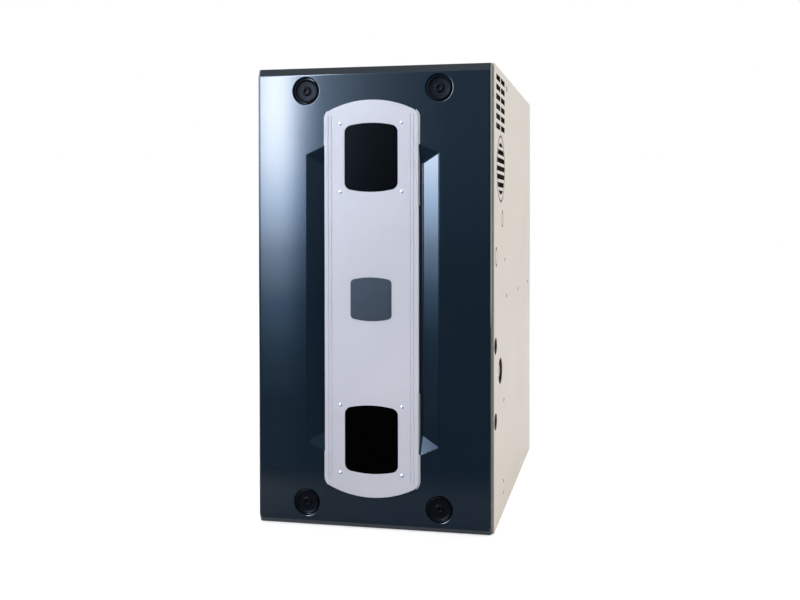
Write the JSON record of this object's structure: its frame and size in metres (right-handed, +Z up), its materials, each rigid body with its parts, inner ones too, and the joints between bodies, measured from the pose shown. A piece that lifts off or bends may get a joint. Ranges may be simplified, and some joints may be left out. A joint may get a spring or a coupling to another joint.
{
  "type": "forced air gas furnace",
  "caption": "Upright condensing gas furnace with a lift-off steel door, arched trim strip, smoked windows, turning latches, blower, burners and heat exchangers.",
  "frame": {"origin": "on the floor, under the middle of the furnace, with door and trim strip included", "axes": "+Z up, -Y towards the front of the door, +X to the right seen from the front"},
  "size_m": [0.5334, 0.732, 1.035],
  "materials": {
    "cabinet_steel": "satin",
    "zinc_sheet": "satin",
    "foil_liner": "satin",
    "aluminised_steel": "satin",
    "coil_aluminium": "satin",
    "black_plastic": "matte",
    "motor_enamel": "satin",
    "wheel_steel": "satin",
    "housing_steel": "satin",
    "shaft_steel": "polished",
    "grey_pipe": "matte",
    "brass": "satin",
    "cast_aluminium": "satin",
    "knob_blue": "gloss",
    "ceramic": "matte",
    "button_red": "gloss",
    "yellow_zinc": "satin",
    "silicone_hose": "matte",
    "white_plastic": "matte",
    "circuit_board": "satin",
    "transformer_steel": "satin",
    "black_rubber": "matte",
    "door_enamel": "gloss",
    "glass_fibre": "matte",
    "silver_trim": "satin",
    "smoked_window": "gloss",
    "plate_grey": "satin",
    "screw_steel": "polished",
    "latch_black": "gloss"
  },
  "bodies": {
    "casing": {"left_side_panel": "cabinet_steel", "right_side_panel": "cabinet_steel", "back_panel": "cabinet_steel", "top_front_plate": "cabinet_steel", "duct_flanges": "zinc_sheet", "base_frame": "zinc_sheet", "blower_deck": "zinc_sheet", "vestibule_panel": "zinc_sheet", "insulation_liner": "foil_liner", "primary_heat_exchanger": "aluminised_steel", "transition_box": "aluminised_steel", "secondary_coil": "coil_aluminium", "collector_box": "black_plastic", "inducer_housing": "black_plastic", "inducer_motor": "motor_enamel", "vent_pipe": "grey_pipe", "intake_pipe": "grey_pipe", "burner_box": "zinc_sheet", "burners": "aluminised_steel", "gas_manifold": "brass", "gas_valve": "cast_aluminium", "igniter": "ceramic", "flame_sensor": "ceramic", "rollout_switches": "black_plastic", "limit_switch": "cast_aluminium", "pressure_switches": "yellow_zinc", "pressure_hoses": "silicone_hose", "door_switch": "black_plastic", "control_panel": "zinc_sheet", "control_board": "circuit_board", "transformer": "transformer_steel", "junction_box": "zinc_sheet", "wiring_harness": "black_rubber", "blower_sides": "housing_steel", "blower_scroll": "housing_steel", "blower_motor": "motor_enamel", "motor_mount": "housing_steel", "blower_rails": "zinc_sheet", "condensate_trap": "white_plastic", "drain_hoses": "black_rubber"},
    "door": {"door_panel": "door_enamel", "door_insulation": "glass_fibre", "door_gasket": "black_rubber", "trim_strip": "silver_trim", "upper_window": "smoked_window", "lower_window": "smoked_window", "badge_plate": "plate_grey", "trim_screws": "screw_steel"},
    "blower_rotor": {"blower_wheel": "wheel_steel", "blower_shaft": "shaft_steel"},
    "inducer_rotor": {"inducer_wheel": "wheel_steel"},
    "gas_valve_knob": {"gas_valve_knob": "knob_blue"},
    "door_switch_plunger": {"door_switch_plunger": "white_plastic"},
    "reset_button_left": {"reset_button_left": "button_red"},
    "reset_button_right": {"reset_button_right": "button_red"},
    "latch_top_left": {"latch_top_left": "latch_black"},
    "latch_top_right": {"latch_top_right": "latch_black"},
    "latch_bottom_left": {"latch_bottom_left": "latch_black"},
    "latch_bottom_right": {"latch_bottom_right": "latch_black"}
  },
  "joints": [
    {"name": "door_lift_off", "type": "slide", "parent": "casing", "child": "door", "axis": [0, -1, 0], "range_m": [0, 0.3]},
    {"name": "latch_top_left_turn", "type": "hinge", "parent": "door", "child": "latch_top_left", "pos_m": [-0.15, -0.35, 0.963], "axis": [0, -1, 0], "range_deg": [0, 90]},
    {"name": "latch_top_right_turn", "type": "hinge", "parent": "door", "child": "latch_top_right", "pos_m": [0.15, -0.35, 0.963], "axis": [0, 1, 0], "range_deg": [0, 90]},
    {"name": "latch_bottom_left_turn", "type": "hinge", "parent": "door", "child": "latch_bottom_left", "pos_m": [-0.15, -0.35, 0.053], "axis": [0, 1, 0], "range_deg": [0, 90]},
    {"name": "latch_bottom_right_turn", "type": "hinge", "parent": "door", "child": "latch_bottom_right", "pos_m": [0.15, -0.35, 0.053], "axis": [0, -1, 0], "range_deg": [0, 90]},
    {"name": "blower_spin", "type": "hinge", "parent": "casing", "child": "blower_rotor", "pos_m": [0, 0.06, 0.228], "axis": [1, 0, 0], "continuous": true},
    {"name": "inducer_spin", "type": "hinge", "parent": "casing", "child": "inducer_rotor", "pos_m": [0.06, -0.214, 0.6], "axis": [0, 1, 0], "continuous": true},
    {"name": "gas_valve_turn", "type": "hinge", "parent": "casing", "child": "gas_valve_knob", "pos_m": [-0.165, -0.322, 0.826], "axis": [0, 1, 0], "range_deg": [0, 90]},
    {"name": "door_switch_press", "type": "slide", "parent": "casing", "child": "door_switch_plunger", "axis": [0, 1, 0], "range_m": [0, 0.006], "stiffness_N_per_m": 150},
    {"name": "reset_left_press", "type": "slide", "parent": "casing", "child": "reset_button_left", "axis": [0, 1, 0], "range_m": [0, 0.002], "stiffness_N_per_m": 200},
    {"name": "reset_right_press", "type": "slide", "parent": "casing", "child": "reset_button_right", "axis": [0, 1, 0], "range_m": [0, 0.002], "stiffness_N_per_m": 200}
  ]
}
